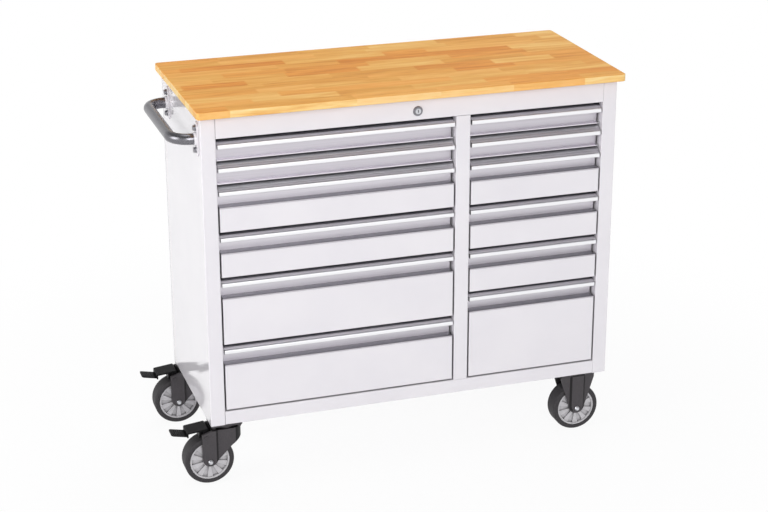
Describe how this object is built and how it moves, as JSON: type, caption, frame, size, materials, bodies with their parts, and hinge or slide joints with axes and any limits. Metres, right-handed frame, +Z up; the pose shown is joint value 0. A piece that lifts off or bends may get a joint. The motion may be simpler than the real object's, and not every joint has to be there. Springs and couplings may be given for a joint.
{
  "type": "workbench tool cabinet",
  "caption": "Mobile steel tool cabinet with two banks of drawers, full-width pulls, a wooden worktop, a side push handle, a central lock and braked casters",
  "frame": {"origin": "middle of the whole cabinet's footprint, on the floor", "axes": "+X along the front towards the fixed casters, +Y from the drawers to the back, +Z up"},
  "size_m": [1.17, 0.48, 0.97],
  "materials": {
    "powder_white": "satin",
    "aluminium": "satin",
    "worktop_wood": "satin",
    "zinc_plated": "satin",
    "handle_steel": "satin",
    "caster_steel": "satin",
    "black_plastic": "matte",
    "grey_plastic": "matte",
    "tyre_rubber": "matte"
  },
  "bodies": {
    "cabinet": {"side_panel_left": "powder_white", "side_panel_right": "powder_white", "back_panel": "powder_white", "base_panel": "powder_white", "top_rail": "powder_white", "centre_divider": "powder_white", "handle_plates": "powder_white", "runner_uprights": "zinc_plated", "cabinet_runners": "zinc_plated", "worktop_screws": "zinc_plated", "lock_housing": "zinc_plated", "rigid_axles": "zinc_plated", "worktop": "worktop_wood", "handle_tube": "handle_steel", "swivel_plates": "caster_steel", "rigid_forks": "caster_steel", "flange_bolts": "caster_steel"},
    "drawer_left_1": {"tray_left_1": "powder_white", "pull_left_1": "aluminium"},
    "drawer_left_2": {"tray_left_2": "powder_white", "pull_left_2": "aluminium"},
    "drawer_left_3": {"tray_left_3": "powder_white", "pull_left_3": "aluminium"},
    "drawer_left_4": {"tray_left_4": "powder_white", "pull_left_4": "aluminium"},
    "drawer_left_5": {"tray_left_5": "powder_white", "pull_left_5": "aluminium"},
    "drawer_left_6": {"tray_left_6": "powder_white", "pull_left_6": "aluminium"},
    "drawer_right_1": {"tray_right_1": "powder_white", "pull_right_1": "aluminium"},
    "drawer_right_2": {"tray_right_2": "powder_white", "pull_right_2": "aluminium"},
    "drawer_right_3": {"tray_right_3": "powder_white", "pull_right_3": "aluminium"},
    "drawer_right_4": {"tray_right_4": "powder_white", "pull_right_4": "aluminium"},
    "drawer_right_5": {"tray_right_5": "powder_white", "pull_right_5": "aluminium"},
    "drawer_right_6": {"tray_right_6": "powder_white", "pull_right_6": "aluminium"},
    "lock_key_plug": {"lock_plug": "zinc_plated", "lock_cam": "zinc_plated"},
    "lock_bar": {"lock_cross_bar": "zinc_plated"},
    "lock_hooks": {"lock_strip": "zinc_plated"},
    "swivel_front": {"swivel_fork_front": "caster_steel", "fork_pins_front": "zinc_plated"},
    "swivel_rear": {"swivel_fork_rear": "caster_steel", "fork_pins_rear": "zinc_plated"},
    "wheel_left_front": {"wheel_core_left_front": "grey_plastic", "tyre_left_front": "tyre_rubber"},
    "wheel_left_rear": {"wheel_core_left_rear": "grey_plastic", "tyre_left_rear": "tyre_rubber"},
    "wheel_right_front": {"wheel_core_right_front": "grey_plastic", "tyre_right_front": "tyre_rubber"},
    "wheel_right_rear": {"wheel_core_right_rear": "grey_plastic", "tyre_right_rear": "tyre_rubber"},
    "pedal_front": {"brake_pedal_front": "black_plastic"},
    "pedal_rear": {"brake_pedal_rear": "black_plastic"}
  },
  "joints": [
    {"name": "drawer_left_1_slide", "type": "slide", "parent": "cabinet", "child": "drawer_left_1", "axis": [0, -1, 0], "range_m": [0, 0.29]},
    {"name": "drawer_left_2_slide", "type": "slide", "parent": "cabinet", "child": "drawer_left_2", "axis": [0, -1, 0], "range_m": [0, 0.29]},
    {"name": "drawer_left_3_slide", "type": "slide", "parent": "cabinet", "child": "drawer_left_3", "axis": [0, -1, 0], "range_m": [0, 0.29]},
    {"name": "drawer_left_4_slide", "type": "slide", "parent": "cabinet", "child": "drawer_left_4", "axis": [0, -1, 0], "range_m": [0, 0.29]},
    {"name": "drawer_left_5_slide", "type": "slide", "parent": "cabinet", "child": "drawer_left_5", "axis": [0, -1, 0], "range_m": [0, 0.29]},
    {"name": "drawer_left_6_slide", "type": "slide", "parent": "cabinet", "child": "drawer_left_6", "axis": [0, -1, 0], "range_m": [0, 0.29]},
    {"name": "drawer_right_1_slide", "type": "slide", "parent": "cabinet", "child": "drawer_right_1", "axis": [0, -1, 0], "range_m": [0, 0.29]},
    {"name": "drawer_right_2_slide", "type": "slide", "parent": "cabinet", "child": "drawer_right_2", "axis": [0, -1, 0], "range_m": [0, 0.29]},
    {"name": "drawer_right_3_slide", "type": "slide", "parent": "cabinet", "child": "drawer_right_3", "axis": [0, -1, 0], "range_m": [0, 0.29]},
    {"name": "drawer_right_4_slide", "type": "slide", "parent": "cabinet", "child": "drawer_right_4", "axis": [0, -1, 0], "range_m": [0, 0.29]},
    {"name": "drawer_right_5_slide", "type": "slide", "parent": "cabinet", "child": "drawer_right_5", "axis": [0, -1, 0], "range_m": [0, 0.29]},
    {"name": "drawer_right_6_slide", "type": "slide", "parent": "cabinet", "child": "drawer_right_6", "axis": [0, -1, 0], "range_m": [0, 0.29]},
    {"name": "lock_turn", "type": "hinge", "parent": "cabinet", "child": "lock_key_plug", "pos_m": [0.049, -0.214, 0.918], "axis": [0, -1, 0], "range_deg": [0, 90]},
    {"name": "lock_bar_slide", "type": "slide", "parent": "cabinet", "child": "lock_bar", "axis": [1, 0, 0], "range_m": [0, 0.007]},
    {"name": "lock_hooks_slide", "type": "slide", "parent": "cabinet", "child": "lock_hooks", "axis": [0, 0, -1], "range_m": [0, 0.007]},
    {"name": "swivel_front_turn", "type": "hinge", "parent": "cabinet", "child": "swivel_front", "pos_m": [-0.447, -0.184, 0.15], "axis": [0, 0, 1], "continuous": true},
    {"name": "swivel_rear_turn", "type": "hinge", "parent": "cabinet", "child": "swivel_rear", "pos_m": [-0.447, 0.184, 0.15], "axis": [0, 0, 1], "continuous": true},
    {"name": "wheel_left_front_spin", "type": "hinge", "parent": "swivel_front", "child": "wheel_left_front", "pos_m": [-0.492, -0.184, 0.0625], "axis": [0, 1, 0], "continuous": true},
    {"name": "wheel_left_rear_spin", "type": "hinge", "parent": "swivel_rear", "child": "wheel_left_rear", "pos_m": [-0.492, 0.184, 0.0625], "axis": [0, 1, 0], "continuous": true},
    {"name": "wheel_right_front_spin", "type": "hinge", "parent": "cabinet", "child": "wheel_right_front", "pos_m": [0.496, -0.184, 0.0625], "axis": [0, 1, 0], "continuous": true},
    {"name": "wheel_right_rear_spin", "type": "hinge", "parent": "cabinet", "child": "wheel_right_rear", "pos_m": [0.496, 0.184, 0.0625], "axis": [0, 1, 0], "continuous": true},
    {"name": "pedal_front_press", "type": "hinge", "parent": "swivel_front", "child": "pedal_front", "pos_m": [-0.501, -0.184, 0.131], "axis": [0, -1, 0], "range_deg": [0, 8]},
    {"name": "pedal_rear_press", "type": "hinge", "parent": "swivel_rear", "child": "pedal_rear", "pos_m": [-0.501, 0.184, 0.131], "axis": [0, -1, 0], "range_deg": [0, 8]}
  ],
  "couplings": [
    {"joint": "lock_turn", "follows": "lock_hooks_slide", "rad_per_m": 224.4},
    {"joint": "lock_bar_slide", "follows": "lock_hooks_slide", "ratio": 1}
  ]
}
